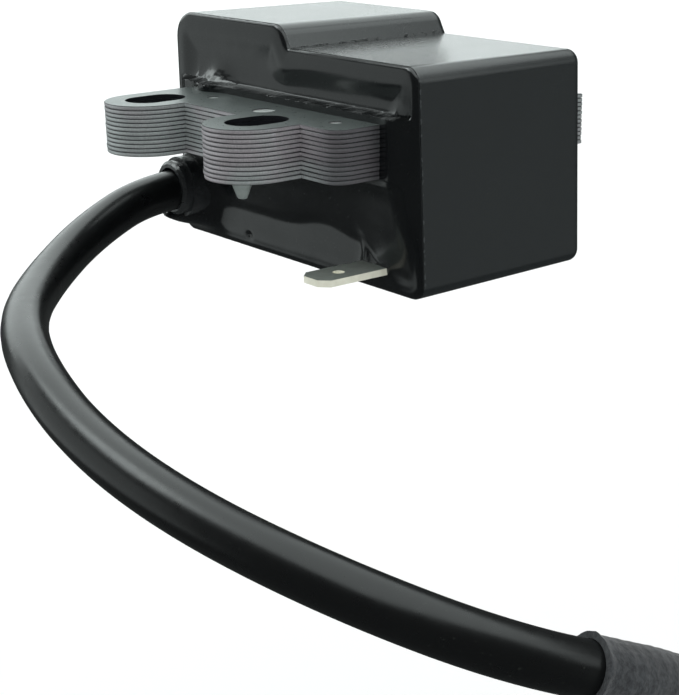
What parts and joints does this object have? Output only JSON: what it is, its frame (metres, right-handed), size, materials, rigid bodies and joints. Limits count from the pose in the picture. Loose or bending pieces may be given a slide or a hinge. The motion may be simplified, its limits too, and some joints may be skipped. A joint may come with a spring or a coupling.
{
  "type": "ignition coil",
  "caption": "Potted flywheel ignition module on a laminated core with slotted mounting ears, a stop tab and a sleeved high-tension lead ending in a rubber plug boot.",
  "frame": {"origin": "midway between the centres of the two mounting slots, on the seating face under the core's ears", "axes": "+Z through the core's sheets, from the seating face up; +X along the line of the two slots, towards the stop tab; +Y from the ears through the cup to the pole faces"},
  "size_m": [0.1027, 0.0782, 0.12],
  "materials": {
    "moulded_case": "satin moulded thermoplastic",
    "potting_resin": "glossy cast epoxy",
    "lead_socket": "satin moulded socket",
    "core_steel": "varnished silicon steel",
    "rivet_steel": "bright steel",
    "core_varnish": "cured varnish",
    "bobbin_nylon": "natural nylon",
    "copper_wire": "enamelled copper",
    "board_laminate": "glass-epoxy laminate",
    "capacitor_film": "dipped film",
    "component_epoxy": "moulded epoxy",
    "resistor_ceramic": "lacquered ceramic",
    "tinned_brass": "tinned",
    "tinned_steel": "bright tin plate",
    "lead_rubber": "smooth semi-gloss jacket",
    "sleeve_fabric": "rough matte woven sleeve",
    "boot_rubber": "moulded rubber"
  },
  "bodies": {
    "root": {"coil_case": "moulded_case", "potting_resin": "potting_resin", "lead_socket": "lead_socket", "lamination_01": "core_steel", "lamination_02": "core_steel", "lamination_03": "core_steel", "lamination_04": "core_steel", "lamination_05": "core_steel", "lamination_06": "core_steel", "lamination_07": "core_steel", "lamination_08": "core_steel", "lamination_09": "core_steel", "lamination_10": "core_steel", "lamination_11": "core_steel", "lamination_12": "core_steel", "core_rivets": "rivet_steel", "centre_rivet": "rivet_steel", "varnish_drip": "core_varnish", "primary_bobbin": "bobbin_nylon", "secondary_bobbin": "bobbin_nylon", "charge_bobbin": "bobbin_nylon", "primary_winding": "copper_wire", "secondary_winding": "copper_wire", "charge_winding": "copper_wire", "circuit_board": "board_laminate", "storage_capacitor": "capacitor_film", "thyristor": "component_epoxy", "diodes": "component_epoxy", "resistors": "resistor_ceramic", "earth_strap": "tinned_brass", "stop_tab": "tinned_steel", "ht_contact": "tinned_brass", "ht_lead": "lead_rubber", "lead_conductor": "copper_wire", "lead_sleeve": "sleeve_fabric", "plug_boot": "boot_rubber", "plug_clip": "tinned_brass"}
  },
  "joints": []
}
